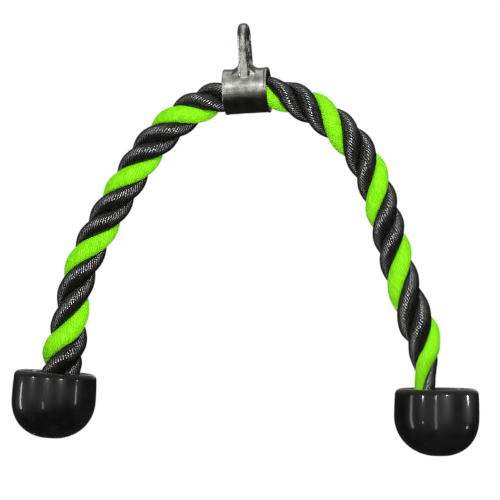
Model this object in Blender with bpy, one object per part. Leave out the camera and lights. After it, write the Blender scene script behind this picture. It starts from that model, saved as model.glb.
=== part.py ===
"""Triceps rope attachment for a cable machine, in metres, +Z up, as it hangs from a carabiner.

A cast steel collar with an eye rides on a thick laid rope. Each end of the rope passes through a
rubber stopper and is crimped into a steel ferrule, which bears on a washer inside the stopper, and a
rubber plug closes the hole below it. The origin is the top of the eye's hole, where the carabiner bears.
The rope lies in the plane y = 0, and the collar sits a little askew on it, with its right end higher.
"""

import math

import bmesh
import bpy
from mathutils import Matrix, Vector

# Clearances
TOUCH_GAP = 0.0003
OVERRUN = 0.002
MERGE_DISTANCE = 1e-7

# Rope
ROPE_DIAMETER = 0.027
ROPE_BEND_STEP = 0.014

# Collar, turned about its own axis
COLLAR_LENGTH = 0.037
COLLAR_ROPE_ROOM = 0.0025
COLLAR_WALL = 0.0025
COLLAR_RIM_WIDTH = 0.0018
COLLAR_RIM_HEIGHT = 0.0004
COLLAR_EDGE_ROUND = 0.0006
MOUTH_FLARE = 0.001
MOUTH_DEPTH = 0.0045
FITTING_TILT = math.radians(3.2)

# Eye, one casting with the collar
EYE_HOLE_DIAMETER = 0.018
EYE_NECK = 0.0125
EYE_LAND = 0.0065
EYE_SIDE_LAND = 0.005
EYE_BASE_STEP = 0.0025
EYE_THICKNESS = 0.0082
EYE_EDGE_ROUND = 0.0018
EYE_EDGE_PASS = 0.0001
FILLET_RADIUS = 0.0085
FILLET_SINK = 0.00025

# Necks, the short straight stretches of rope that leave the collar. The shares say how low the rope lies
# where a neck starts and at the collar's mouth, as shares of the room round it.
NECK_INSET = 0.0065
NECK_REACH = 0.006
NECK_LEAD = 0.003
NECK_START_SAG_SHARE = 0.48
NECK_MOUTH_SAG_SHARE = 1.06

# Stopper, measured down from its flat top
STOPPER_DIAMETER = 0.069
STOPPER_TOP_TAPER = 0.0009
STOPPER_SHOULDER_DEPTH = 0.022
STOPPER_TOP_ROUND = 0.0048
STOPPER_BORE_PLAY = 0.0011
STOPPER_MOUTH_ROUND = 0.006

# What holds the rope's end inside the stopper
WASHER_THICKNESS = 0.0025
WASHER_PLAY = 0.0006
FLANGE_THICKNESS = 0.002
FLANGE_WIDTH = 0.001
FLANGE_PLAY = 0.0006
FERRULE_LENGTH = 0.014
FERRULE_WALL = 0.0014
FERRULE_FLOOR = 0.0016
CRIMP_WIDTH = 0.0024
CRIMP_DEPTH = 0.0005
CRIMP_SHARES = (0.45, 0.75)
WHIPPING_THICKNESS = 0.0006
PLUG_SIDE = 0.0072
PLUG_FLAT_RADIUS = 0.009
PLUG_EDGE = 0.0006

# Free rope of each leg as (x, z), from its neck to just above its stopper
LEFT_ROUTE = (
    (-0.0325, -0.0588),
    (-0.0490, -0.0680),
    (-0.0650, -0.0812),
    (-0.0797, -0.0974),
    (-0.0910, -0.1138),
    (-0.1065, -0.1392),
    (-0.1201, -0.1628),
    (-0.1300, -0.1820),
    (-0.1368, -0.1985),
    (-0.1412, -0.2150),
    (-0.1440, -0.2325),
    (-0.1470, -0.2500),
    (-0.1505, -0.2620),
)
RIGHT_ROUTE = (
    (0.0373, -0.0544),
    (0.0530, -0.0613),
    (0.0703, -0.0730),
    (0.0840, -0.0854),
    (0.0949, -0.0989),
    (0.1030, -0.1132),
    (0.1102, -0.1320),
    (0.1168, -0.1548),
    (0.1235, -0.1792),
    (0.1302, -0.2038),
    (0.1383, -0.2280),
    (0.1467, -0.2500),
    (0.1500, -0.2660),
)

# Where each stopper's flat top is centred, and how far its axis leans to the right going up
LEFT_STOPPER_TOP = (-0.1571, -0.2801)
LEFT_STOPPER_LEAN = math.radians(4.0)
RIGHT_STOPPER_TOP = (0.1587, -0.2922)
RIGHT_STOPPER_LEAN = math.radians(0.4)

# Facets
COLLAR_SIDES = 48
STOPPER_SIDES = 40
HARDWARE_SIDES = 32
ROUND_STEPS = 4
EDGE_STEPS = 3
DOME_STEPS = 9
PLUG_STEPS = 4
EYE_TOP_STEPS = 20
ROUTE_STEPS = 12
ROPE_BEVEL_RESOLUTION = 4
SHARP_ANGLE = math.radians(32)

DOWN = Vector((0, 0, -1))


def clear_scene():
    for obj in list(bpy.data.objects):
        bpy.data.objects.remove(obj)


def principled(name, colour, roughness, metallic=0.0):
    made = bpy.data.materials.new(name)
    made.use_nodes = True
    shader = made.node_tree.nodes["Principled BSDF"]
    shader.inputs["Base Color"].default_value = (*colour, 1.0)
    shader.inputs["Roughness"].default_value = roughness
    shader.inputs["Metallic"].default_value = metallic
    return made


def add_object(name, data, parent=None, finish=None):
    made = bpy.data.objects.new(name, data)
    bpy.context.collection.objects.link(made)
    made.parent = parent
    if finish:
        data.materials.append(finish)
    if isinstance(data, bpy.types.Mesh):
        data.shade_smooth()
        data.set_sharp_from_angle(angle=SHARP_ANGLE)
    return made


def add_axis(name, parent, place, lean=0.0):
    """An empty on a joint's axis, which carries what turns there."""
    made = bpy.data.objects.new(name, None)
    bpy.context.collection.objects.link(made)
    made.parent = parent
    made.location = place
    made.rotation_euler = (0, lean, 0)
    return made


def add_boolean(target, helper, operation):
    modifier = target.modifiers.new(operation.lower(), "BOOLEAN")
    modifier.operation = operation
    modifier.object = helper
    helper.hide_render = True
    helper.display_type = "WIRE"


# Outlines and turned shapes


def arc(centre, radius, start, end, steps):
    """Points of a round from one angle to another, both included."""
    turns = [start + (end - start) * step / steps for step in range(steps + 1)]
    return [(centre[0] + radius * math.cos(turn), centre[1] + radius * math.sin(turn)) for turn in turns]


def mirrored(half):
    """A section's half at positive heights, closed by its mirror image."""
    return half + [(radius, -height) for radius, height in reversed(half)]


def turned_mesh(name, section, sides, about_x=False):
    """A closed section of (radius, height) turned about Z, or laid along X."""
    mesh = bpy.data.meshes.new(name)
    form = bmesh.new()
    corners = [form.verts.new((radius, 0, height)) for radius, height in section]
    edges = []
    for index, (radius, _) in enumerate(section):
        if radius > 0 or section[index - 1][0] > 0:
            edges.append(form.edges.new((corners[index - 1], corners[index])))
    bmesh.ops.spin(
        form,
        geom=corners + edges,
        cent=(0, 0, 0),
        axis=(0, 0, 1),
        angle=math.tau,
        steps=sides,
    )
    bmesh.ops.remove_doubles(form, verts=form.verts, dist=MERGE_DISTANCE)
    if about_x:
        bmesh.ops.rotate(form, verts=form.verts, matrix=Matrix.Rotation(math.pi / 2, 3, "Y"))
    bmesh.ops.recalc_face_normals(form, faces=form.faces)
    form.to_mesh(mesh)
    form.free()
    return mesh


# Where things come, from the sizes above


def collar_bore_radius():
    return ROPE_DIAMETER / 2 + COLLAR_ROPE_ROOM


def collar_radius():
    return collar_bore_radius() + COLLAR_WALL


def eye_drop():
    """From the top of the eye's hole down to the collar's axis."""
    return EYE_HOLE_DIAMETER + EYE_NECK + collar_radius()


def ferrule_bore_radius():
    return ROPE_DIAMETER / 2 + TOUCH_GAP + WHIPPING_THICKNESS + TOUCH_GAP


def flange_radius():
    return ferrule_bore_radius() + FERRULE_WALL + FLANGE_WIDTH


def seat_radius():
    """The wide end of the stopper's hole, which holds the washer, the ferrule and the plug."""
    return flange_radius() + FLANGE_PLAY


def dome_depth(radius):
    """How deep the stopper's domed underside lies at a radius."""
    return STOPPER_SHOULDER_DEPTH + math.sqrt((STOPPER_DIAMETER / 2) ** 2 - radius**2)


def plug_top_depth():
    return dome_depth(seat_radius()) - PLUG_SIDE


def ferrule_end_depth():
    return plug_top_depth() - TOUCH_GAP


def ferrule_top_depth():
    return ferrule_end_depth() - FERRULE_LENGTH


def washer_top_depth():
    return ferrule_top_depth() - TOUCH_GAP - WASHER_THICKNESS


def seat_depth():
    return washer_top_depth() - TOUCH_GAP


def rope_end_depth():
    return ferrule_end_depth() - FERRULE_FLOOR - TOUCH_GAP


# Rope


def smooth_route(points, start_way, end_way):
    """Close points on one smooth curve through the route, which leaves and ends along the given ways."""
    ways = [start_way]
    for before, point, after in zip(points, points[1:], points[2:]):
        back = point - before
        ahead = after - point
        ways.append((back.normalized() * ahead.length + ahead.normalized() * back.length).normalized())
    ways.append(end_way)
    close = [points[0]]
    for start, end, leave, arrive in zip(points, points[1:], ways, ways[1:]):
        span = (end - start).length
        for step in range(1, ROUTE_STEPS + 1):
            t = step / ROUTE_STEPS
            close.append(
                start * (2 * t**3 - 3 * t**2 + 1)
                + end * (3 * t**2 - 2 * t**3)
                + leave * span * (t**3 - 2 * t**2 + t)
                + arrive * span * (t**3 - t**2)
            )
    return close


def spaced(close, step):
    """Points at even distances along close points, both ends included."""
    along = [0.0]
    for start, end in zip(close, close[1:]):
        along.append(along[-1] + (end - start).length)
    count = max(2, round(along[-1] / step))
    found = []
    index = 0
    for number in range(count + 1):
        wanted = along[-1] * number / count
        while index < len(close) - 2 and along[index + 1] < wanted:
            index += 1
        part = (wanted - along[index]) / (along[index + 1] - along[index])
        found.append(close[index].lerp(close[index + 1], part))
    return found


def add_rope(name, points, finish, parent=None, parent_place=Vector()):
    """A plain tube of the rope's diameter through points in the world, on a parent that stands unturned."""
    curve = bpy.data.curves.new(name, "CURVE")
    curve.dimensions = "3D"
    curve.bevel_depth = ROPE_DIAMETER / 2
    curve.bevel_resolution = ROPE_BEVEL_RESOLUTION
    curve.use_fill_caps = True
    spline = curve.splines.new("POLY")
    spline.points.add(len(points) - 1)
    for corner, point in zip(spline.points, points):
        corner.co = (*(point - parent_place), 1)
    return add_object(name, curve, parent, finish)


def neck_ends(way):
    """Where a neck starts in the collar, and its pivot outside. way is -1 on the left and 1 on the right."""
    start_sag = COLLAR_ROPE_ROOM * NECK_START_SAG_SHARE
    mouth_sag = COLLAR_ROPE_ROOM * NECK_MOUTH_SAG_SHARE
    start = Vector((way * (COLLAR_LENGTH / 2 - NECK_INSET), 0, -eye_drop() - start_sag))
    mouth = Vector((way * COLLAR_LENGTH / 2, 0, -eye_drop() - mouth_sag))
    pivot = start + (mouth - start) * (NECK_INSET + NECK_REACH) / NECK_INSET
    to_world = Matrix.Rotation(-FITTING_TILT, 3, "Y")
    return to_world @ start, to_world @ pivot


def leg_points(way, route, top, down):
    """A leg's points from its neck to its end in the ferrule."""
    start, pivot = neck_ends(way)
    leave = (pivot - start).normalized()
    free = [pivot + leave * NECK_LEAD]
    free += [Vector((x, 0, z)) for x, z in route]
    free.append(top + down * STOPPER_MOUTH_ROUND)
    bent = spaced(smooth_route(free, leave, down), ROPE_BEND_STEP)
    return [pivot + leave * TOUCH_GAP / 2] + bent + [top + down * rope_end_depth()]


def add_collar_rope(finish):
    """The arched stretch inside the collar, from neck to neck."""
    left, left_pivot = neck_ends(-1)
    right, right_pivot = neck_ends(1)
    leave = (left - left_pivot).normalized()
    arrive = (right_pivot - right).normalized()
    start = left + leave * TOUCH_GAP / 2
    end = right - arrive * TOUCH_GAP / 2
    arched = smooth_route([start + leave * NECK_LEAD, end - arrive * NECK_LEAD], leave, arrive)
    add_rope("rope_collar_stretch", [start] + spaced(arched, ROPE_BEND_STEP) + [end], finish)


# Collar and eye


def collar_section():
    """The collar's wall, with a bead round each end and a flared mouth."""
    half = COLLAR_LENGTH / 2
    outer = collar_radius()
    bead = outer + COLLAR_RIM_HEIGHT
    bore = collar_bore_radius()
    edge = COLLAR_EDGE_ROUND
    side = [(outer, half - COLLAR_RIM_WIDTH - COLLAR_RIM_HEIGHT), (bead, half - COLLAR_RIM_WIDTH)]
    lip = arc((bead - edge, half - edge), edge, 0, math.pi / 2, EDGE_STEPS)
    mouth = []
    for step in range(ROUND_STEPS + 1):
        inward = step / ROUND_STEPS
        mouth.append((bore + MOUTH_FLARE * (1 - inward) ** 2, half - MOUTH_DEPTH * inward))
    return mirrored(side + lip + mouth)


def eye_web_section():
    """A disc about the collar's axis that flares into the collar's surface on both sides."""
    flat = EYE_THICKNESS / 2
    inner = (collar_bore_radius() + collar_radius()) / 2
    foot = collar_radius() - FILLET_SINK
    centre = (foot + FILLET_RADIUS, flat + FILLET_RADIUS)
    flare = arc(centre, FILLET_RADIUS, 3 * math.pi / 2, math.pi, 2 * ROUND_STEPS)
    outer = eye_drop() + EYE_LAND + OVERRUN
    return mirrored([(outer, flat)] + flare + [(inner, flat + FILLET_RADIUS)])


def eye_outline(inset):
    """The eye seen along the collar's axis, as (y, z), drawn in by an inset."""
    radius = EYE_HOLE_DIAMETER / 2 + EYE_SIDE_LAND - inset
    half = collar_radius() - EYE_BASE_STEP - inset
    top = EYE_LAND - EYE_HOLE_DIAMETER / 2 - EYE_SIDE_LAND
    fall = top + eye_drop()
    tangent = math.acos(radius / math.hypot(half, fall)) - math.atan2(fall, half)
    crown = arc((0, top), radius, tangent, math.pi - tangent, EYE_TOP_STEPS)
    return [(half, -eye_drop())] + crown + [(-half, -eye_drop())]


def eye_outline_mesh():
    """The eye's outline drawn out along X, with a rounded edge where the eye's two flat faces come."""
    flat = EYE_THICKNESS / 2
    edge = EYE_EDGE_ROUND
    stations = []
    for step in range(EDGE_STEPS + 1):
        turn = math.pi / 2 * step / EDGE_STEPS
        stations.append((flat - edge + (edge + EYE_EDGE_PASS) * math.sin(turn), edge * (1 - math.cos(turn))))
    stations.append((flat + FILLET_RADIUS + OVERRUN, edge))
    stations = [(-x, inset) for x, inset in reversed(stations)] + stations
    mesh = bpy.data.meshes.new("eye_outline")
    form = bmesh.new()
    loops = [[form.verts.new((x, y, z)) for y, z in eye_outline(inset)] for x, inset in stations]
    for loop, after in zip(loops, loops[1:]):
        for index in range(len(loop)):
            form.faces.new((loop[index - 1], loop[index], after[index], after[index - 1]))
    form.faces.new(loops[0])
    form.faces.new(loops[-1])
    bmesh.ops.recalc_face_normals(form, faces=form.faces)
    form.to_mesh(mesh)
    form.free()
    return mesh


def eye_hole_section():
    """The hole's cutter, which widens at both ends to round the hole's edges."""
    flat = EYE_THICKNESS / 2
    hole = EYE_HOLE_DIAMETER / 2
    edge = EYE_EDGE_ROUND
    flare = arc((hole + edge, flat - edge), edge, math.pi, math.pi / 2, EDGE_STEPS)
    ends = [(hole + edge, flat + OVERRUN), (0, flat + OVERRUN)]
    return mirrored(flare + ends)


def add_fitting(finish):
    """The collar and its eye, one casting."""
    fitting = add_axis("fitting_frame", None, (0, 0, 0), -FITTING_TILT)
    collar_mesh = turned_mesh("eye_collar", collar_section(), COLLAR_SIDES, about_x=True)
    collar_mesh.transform(Matrix.Translation(DOWN * eye_drop()))
    web_mesh = turned_mesh("eye_web", eye_web_section(), COLLAR_SIDES, about_x=True)
    web_mesh.transform(Matrix.Translation(DOWN * eye_drop()))
    hole_mesh = turned_mesh("eye_hole", eye_hole_section(), HARDWARE_SIDES, about_x=True)
    hole_mesh.transform(Matrix.Translation(DOWN * EYE_HOLE_DIAMETER / 2))
    web = add_object("eye_web", web_mesh, fitting)
    add_boolean(web, add_object("eye_outline", eye_outline_mesh(), fitting), "INTERSECT")
    add_boolean(web, add_object("eye_hole", hole_mesh, fitting), "DIFFERENCE")
    collar = add_object("eye_collar", collar_mesh, fitting, finish)
    add_boolean(collar, web, "UNION")


# Stopper and what it holds, each drawn about the stopper's axis with its flat top at height zero


def stopper_section():
    bore = ROPE_DIAMETER / 2 + STOPPER_BORE_PLAY
    seat = seat_radius()
    ball = STOPPER_DIAMETER / 2
    top = ball - STOPPER_TOP_TAPER
    mouth_round = STOPPER_MOUTH_ROUND
    top_round = STOPPER_TOP_ROUND
    mouth = arc((bore + mouth_round, -mouth_round), mouth_round, math.pi, math.pi / 2, ROUND_STEPS)
    rim = arc((top - top_round, -top_round), top_round, math.pi / 2, 0, ROUND_STEPS)
    dome = arc((0, -STOPPER_SHOULDER_DEPTH), ball, 0, -math.acos(seat / ball), DOME_STEPS)
    return mouth + rim + dome + [(seat, -seat_depth()), (bore, -seat_depth())]


def plug_section():
    ball = STOPPER_DIAMETER / 2
    side = seat_radius() - TOUCH_GAP
    top = -plug_top_depth()
    start = math.acos((side - PLUG_EDGE) / ball)
    end = math.acos(PLUG_FLAT_RADIUS / ball)
    dome = arc((0, -STOPPER_SHOULDER_DEPTH), ball, -start, -end, PLUG_STEPS)
    edge = (side, dome[0][1] + PLUG_EDGE)
    return [(0, top), (side, top), edge] + dome + [(0, -dome_depth(PLUG_FLAT_RADIUS))]


def washer_section():
    inner = ROPE_DIAMETER / 2 + WASHER_PLAY
    outer = seat_radius() - TOUCH_GAP
    top = -washer_top_depth()
    end = top - WASHER_THICKNESS
    return [(inner, top), (outer, top), (outer, end), (inner, end)]


def whipping_section():
    inner = ROPE_DIAMETER / 2 + TOUCH_GAP
    outer = inner + WHIPPING_THICKNESS
    top = -ferrule_top_depth() - TOUCH_GAP
    end = -rope_end_depth()
    return [(inner, top), (outer, top), (outer, end), (inner, end)]


def ferrule_section():
    inner = ferrule_bore_radius()
    outer = inner + FERRULE_WALL
    flange = flange_radius()
    top = -ferrule_top_depth()
    end = -ferrule_end_depth()
    section = [(inner, top), (flange, top), (flange, top - FLANGE_THICKNESS), (outer, top - FLANGE_THICKNESS)]
    for share in CRIMP_SHARES:
        middle = top - FERRULE_LENGTH * share
        section.append((outer, middle + CRIMP_WIDTH / 2))
        section.append((outer - CRIMP_DEPTH, middle + CRIMP_WIDTH / 4))
        section.append((outer - CRIMP_DEPTH, middle - CRIMP_WIDTH / 4))
        section.append((outer, middle - CRIMP_WIDTH / 2))
    return section + [(outer, end), (0, end), (0, end + FERRULE_FLOOR), (inner, end + FERRULE_FLOOR)]


def add_leg(side, way, route, top, lean, finishes):
    """One leg: its neck, its rope, and the stopper on its end."""
    rope, rubber, steel, tape = finishes
    start, pivot = neck_ends(way)
    leave = (pivot - start).normalized()
    top = Vector((top[0], 0, top[1]))
    down = Matrix.Rotation(lean, 3, "Y") @ DOWN
    swing = add_axis(f"{side}_swing_axis", None, pivot)
    spread = add_axis(f"{side}_spread_axis", swing, (0, 0, 0))
    end = add_axis(f"{side}_end_axis", spread, top - pivot, lean)
    turn = add_axis(f"{side}_stopper_turn_axis", end, (0, 0, 0))
    neck = [start + leave * TOUCH_GAP / 2, pivot - leave * TOUCH_GAP / 2]
    add_rope(f"rope_{side}_neck", neck, rope, swing, pivot)
    add_rope(f"rope_{side}_leg", leg_points(way, route, top, down), rope, spread, pivot)
    pieces = (
        ("stopper", stopper_section(), STOPPER_SIDES, turn, rubber),
        ("plug", plug_section(), HARDWARE_SIDES, turn, rubber),
        ("washer", washer_section(), HARDWARE_SIDES, end, steel),
        ("ferrule", ferrule_section(), HARDWARE_SIDES, end, steel),
        ("whipping", whipping_section(), HARDWARE_SIDES, end, tape),
    )
    for piece, section, sides, parent, finish in pieces:
        name = f"{side}_{piece}"
        add_object(name, turned_mesh(name, section, sides), parent, finish)


def main():
    clear_scene()
    nickel = principled("nickel_plated_casting", (0.33, 0.33, 0.30), 0.3, 1.0)
    rope = principled("black_nylon_rope", (0.012, 0.012, 0.011), 0.5)
    rubber = principled("black_rubber", (0.014, 0.014, 0.014), 0.25)
    steel = principled("zinc_plated_steel", (0.45, 0.45, 0.44), 0.35, 1.0)
    tape = principled("whipping_tape", (0.02, 0.02, 0.02), 0.6)
    add_fitting(nickel)
    add_collar_rope(rope)
    finishes = (rope, rubber, steel, tape)
    add_leg("left", -1, LEFT_ROUTE, LEFT_STOPPER_TOP, LEFT_STOPPER_LEAN, finishes)
    add_leg("right", 1, RIGHT_ROUTE, RIGHT_STOPPER_TOP, RIGHT_STOPPER_LEAN, finishes)


main()
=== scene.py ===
import math

import bmesh
import bpy
import numpy as np
from mathutils import Matrix, Vector


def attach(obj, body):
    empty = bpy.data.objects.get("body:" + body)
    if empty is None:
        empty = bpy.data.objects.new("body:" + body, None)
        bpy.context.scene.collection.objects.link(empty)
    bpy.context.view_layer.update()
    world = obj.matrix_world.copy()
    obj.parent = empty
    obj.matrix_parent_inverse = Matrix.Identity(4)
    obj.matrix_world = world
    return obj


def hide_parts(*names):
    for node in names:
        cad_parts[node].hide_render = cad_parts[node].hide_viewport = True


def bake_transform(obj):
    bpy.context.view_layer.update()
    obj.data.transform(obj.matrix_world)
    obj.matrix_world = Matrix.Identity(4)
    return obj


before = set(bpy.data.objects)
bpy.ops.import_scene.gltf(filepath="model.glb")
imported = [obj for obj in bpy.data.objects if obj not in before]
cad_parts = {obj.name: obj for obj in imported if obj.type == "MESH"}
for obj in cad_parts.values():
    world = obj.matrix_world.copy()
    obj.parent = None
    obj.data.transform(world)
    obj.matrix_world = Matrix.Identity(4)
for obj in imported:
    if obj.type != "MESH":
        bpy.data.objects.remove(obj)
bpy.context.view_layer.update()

# Camera
# The photo was taken level with the middle of the rope, from far off with a long lens,
# about 8 degrees to the right of straight on.
CAMERA_TURN = math.radians(8)
CAMERA_DISTANCE = 3.0
CAMERA_TARGET = Vector((0.00505, 0, -0.17929))
CAMERA_LENS = 263.4


def add_object(name, data):
    """An object made of some data, put in the scene."""
    made = bpy.data.objects.new(name, data)
    bpy.context.collection.objects.link(made)
    return made


camera_data = bpy.data.cameras.new("photo_camera")
camera_data.sensor_width = 36
camera_data.lens = CAMERA_LENS
camera_data.clip_end = 100
camera = add_object("photo_camera", camera_data)
away = Vector((math.sin(CAMERA_TURN), -math.cos(CAMERA_TURN), 0))
camera.location = CAMERA_TARGET + away * CAMERA_DISTANCE
camera.rotation_euler = (math.radians(90), 0, CAMERA_TURN)
bpy.context.scene.camera = camera

# Rope
# Three nylon strands, two black and one lime green, laid right-handed round each other into one rope.
# Each strand is a bundle of yarns twisted the other way, so that they run nearly straight along the rope.
# The rope hangs through the collar, and each end is crimped in a ferrule inside its stopper.
STRAND_RADIUS = 0.0090
STRAND_OFFSET = 0.0052
STRAND_GAP = 0.00005
STRAND_CENTRE = 0.007
CREST_RADIUS = 0.0142
HALF_THIRD = math.radians(60)
SECTION_POINTS = 240
SECTION_SMOOTHING = 60
ARC_STEPS = 60
YARNS_PER_STRAND = 22
POINTS_PER_YARN = 5
YARN_DEPTH = 0.0009
GREEN_GROOVE_SHARE = 0.5
YARN_TURN_LENGTH = 0.0305
TURNS_AHEAD = 16.0
WELD = 0.000002
RING_STEP = 0.0014
STEPS_PER_SPAN = 12

# Steps of the shade's and the filaments' noise to a metre of yarn, and how fast the filaments twist
SHADE_RATE = 45.0
FILAMENT_RATE = 160.0
FILAMENT_TWIST = 420.0
FILAMENTS_PER_YARN = 9.0

# Ends and ways that the routes share with the solids
LEFT_NECK_START = Vector((-0.009179, 0, -0.050792))
RIGHT_NECK_START = Vector((0.014783, 0, -0.049452))
LEFT_PIVOT = Vector((-0.021504, 0, -0.054273))
RIGHT_PIVOT = Vector((0.02742, 0, -0.051538))
LEFT_TOP = Vector((-0.1571, 0, -0.2801))
RIGHT_TOP = Vector((0.1587, 0, -0.2922))
LEFT_DOWN = Vector((-0.0697565, 0, -0.9975641))
RIGHT_DOWN = Vector((-0.0069813, 0, -0.9999756))
NECK_LEAD = 0.003
MOUTH_ROUND = 0.006
ROPE_END_DEPTH = 0.0422

# The stretch in the collar stands just clear of both necks, and is squeezed as they are
CUT_GAP = 0.0003
SQUEEZE_IN_COLLAR = 0.93

# Points that each leg hangs through, as (x, z)
LEFT_ROUTE = (
    (-0.0325, -0.0588),
    (-0.0490, -0.0680),
    (-0.0650, -0.0812),
    (-0.0797, -0.0974),
    (-0.0910, -0.1138),
    (-0.1065, -0.1392),
    (-0.1201, -0.1628),
    (-0.1300, -0.1820),
    (-0.1368, -0.1985),
    (-0.1412, -0.2150),
    (-0.1440, -0.2325),
    (-0.1470, -0.2500),
    (-0.1505, -0.2620),
)
RIGHT_ROUTE = (
    (0.0373, -0.0544),
    (0.0530, -0.0613),
    (0.0703, -0.0730),
    (0.0840, -0.0854),
    (0.0949, -0.0989),
    (0.1030, -0.1132),
    (0.1102, -0.1320),
    (0.1168, -0.1548),
    (0.1235, -0.1792),
    (0.1302, -0.2038),
    (0.1383, -0.2280),
    (0.1467, -0.2500),
    (0.1500, -0.2660),
)

# Distances from the neck's start at which the green strand faces the camera, one turn apart
LEFT_GREEN = (-0.0195, 0.0438, 0.1109, 0.1806, 0.2537, 0.3270, 0.4000)
RIGHT_GREEN = (0.0003, 0.0658, 0.1342, 0.2010, 0.2805, 0.3680, 0.4500)

# How far the rope is squeezed or splayed along its way, as (distance, share of its thickness)
LEFT_SQUEEZE = (
    (0.000, 0.93),
    (0.012, 0.94),
    (0.035, 1.00),
    (0.230, 1.00),
    (0.244, 1.08),
    (0.254, 1.17),
    (0.264, 1.24),
    (0.274, 1.25),
    (0.281, 1.16),
    (0.289, 1.08),
    (0.296, 0.98),
    (0.306, 0.92),
    (0.340, 0.92),
)
RIGHT_SQUEEZE = (
    (0.000, 0.93),
    (0.012, 0.94),
    (0.035, 1.00),
    (0.225, 1.00),
    (0.240, 1.08),
    (0.250, 1.12),
    (0.262, 1.00),
    (0.270, 0.94),
    (0.278, 0.80),
    (0.284, 0.68),
    (0.290, 0.64),
    (0.306, 0.64),
    (0.311, 0.72),
    (0.320, 0.92),
    (0.350, 0.92),
)

# How far the rope leans on one side of its stopper's mouth, as (distance, way to the right)
LEFT_LEAN = (
    (0.262, 0.0),
    (0.272, 0.0012),
    (0.284, 0.0032),
    (0.290, 0.0026),
    (0.304, 0.0),
)
RIGHT_LEAN = (
    (0.268, 0.0),
    (0.276, -0.0018),
    (0.284, -0.0042),
    (0.292, -0.0070),
    (0.303, -0.0088),
    (0.309, -0.0058),
    (0.322, 0.0),
)


def smooth_route(points, start_way, end_way):
    """Close points on one smooth curve through the route, which leaves and ends along the given ways."""
    ways = [start_way]
    for before, point, after in zip(points, points[1:], points[2:]):
        back = point - before
        ahead = after - point
        ways.append((back.normalized() * ahead.length + ahead.normalized() * back.length).normalized())
    ways.append(end_way)
    close = [points[0]]
    for start, end, leave, arrive in zip(points, points[1:], ways, ways[1:]):
        span = (end - start).length
        for step in range(1, STEPS_PER_SPAN + 1):
            t = step / STEPS_PER_SPAN
            close.append(
                start * (2 * t**3 - 3 * t**2 + 1)
                + end * (3 * t**2 - 2 * t**3)
                + leave * span * (t**3 - 2 * t**2 + t)
                + arrive * span * (t**3 - t**2)
            )
    return close


def distances(points):
    """How far along its way each point lies."""
    along = [0.0]
    for start, end in zip(points, points[1:]):
        along.append(along[-1] + (end - start).length)
    return along


def leg_route(neck_start, pivot, route, top, down):
    """A leg of the rope, from inside the collar to its end in the ferrule."""
    leave = (pivot - neck_start).normalized()
    free = [pivot + leave * NECK_LEAD]
    free += [Vector((x, 0, z)) for x, z in route]
    free.append(top + down * MOUTH_ROUND)
    last = top + down * ROPE_END_DEPTH
    hidden = [free[-1].lerp(last, step / STEPS_PER_SPAN) for step in range(1, STEPS_PER_SPAN + 1)]
    return [neck_start, pivot] + smooth_route(free, leave, down) + hidden


def turns_at(along, facing):
    """Turns of the lay at a distance, smooth through the places where the green strand faces the camera."""
    number = 0
    while number < len(facing) - 3 and facing[number + 1] < along:
        number += 1
    start, end = facing[number], facing[number + 1]
    span = end - start
    before = facing[number - 1] if number else start - span
    leave = 2 * span / (end - before)
    arrive = 2 * span / (facing[number + 2] - start)
    t = (along - start) / span
    return number + (3 * t**2 - 2 * t**3) + leave * (t**3 - 2 * t**2 + t) + arrive * (t**3 - t**2)


def lay_curve(name, points, angles, squeezes):
    """The rope's way as a curve, whose tilt turns the lay and whose radius squeezes it."""
    data = bpy.data.curves.new(name, "CURVE")
    data.dimensions = "3D"
    spline = data.splines.new("POLY")
    spline.points.add(len(points) - 1)
    for corner, point, angle, squeeze in zip(spline.points, points, angles, squeezes):
        corner.co = (*point, 1)
        corner.tilt = angle
        corner.radius = squeeze
    return add_object(name, data)


def strand_section_curve():
    """A strand pressed into its third of the rope, as a closed curve with X outwards from the axis."""
    reach = STRAND_OFFSET * math.cos(HALF_THIRD)
    corner = reach + math.sqrt(reach**2 + STRAND_RADIUS**2 - STRAND_OFFSET**2)
    turn = math.atan2(corner * math.sin(HALF_THIRD), corner * math.cos(HALF_THIRD) - STRAND_OFFSET)
    outline = [(0.0, 0.0)]
    for step in range(ARC_STEPS + 1):
        angle = -turn + 2 * turn * step / ARC_STEPS
        outline.append((STRAND_OFFSET + STRAND_RADIUS * math.cos(angle), STRAND_RADIUS * math.sin(angle)))
    outline.append((0.0, 0.0))
    outline = np.array(outline)
    lengths = np.hypot(*np.diff(outline, axis=0).T)
    along = np.concatenate([[0], np.cumsum(lengths)])
    even = np.linspace(0, along[-1], SECTION_POINTS, endpoint=False)
    ring = np.column_stack([np.interp(even, along, outline[:, 0]), np.interp(even, along, outline[:, 1])])
    for _ in range(SECTION_SMOOTHING):
        ring = 0.5 * ring + 0.25 * (np.roll(ring, 1, axis=0) + np.roll(ring, -1, axis=0))
    ring[:, 0] += STRAND_GAP / math.sin(HALF_THIRD)
    ring *= CREST_RADIUS / ring[:, 0].max()
    data = bpy.data.curves.new("strand_section", "CURVE")
    data.dimensions = "3D"
    spline = data.splines.new("POLY")
    spline.points.add(SECTION_POINTS - 1)
    spline.use_cyclic_u = True
    for corner, point in zip(spline.points, ring):
        corner.co = (*point, 0, 1)
    return add_object("strand_section", data)


def add_node(tree, kind, values=None, **settings):
    """A node with its settings, and each named or numbered input linked from a socket or given a value."""
    made = tree.nodes.new(kind)
    for name, value in settings.items():
        setattr(made, name, value)
    for place, value in (values or {}).items():
        if isinstance(value, bpy.types.NodeSocket):
            tree.links.new(value, made.inputs[place])
        else:
            made.inputs[place].default_value = value
    return made


def math_of(tree, operation, first, second=0.0, third=0.0):
    """One sum as a Math node, and its result."""
    made = add_node(tree, "ShaderNodeMath", {0: first, 1: second}, operation=operation)
    if operation == "MULTIPLY_ADD":
        made.inputs[2].default_value = third
    return made.outputs[0]


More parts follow.
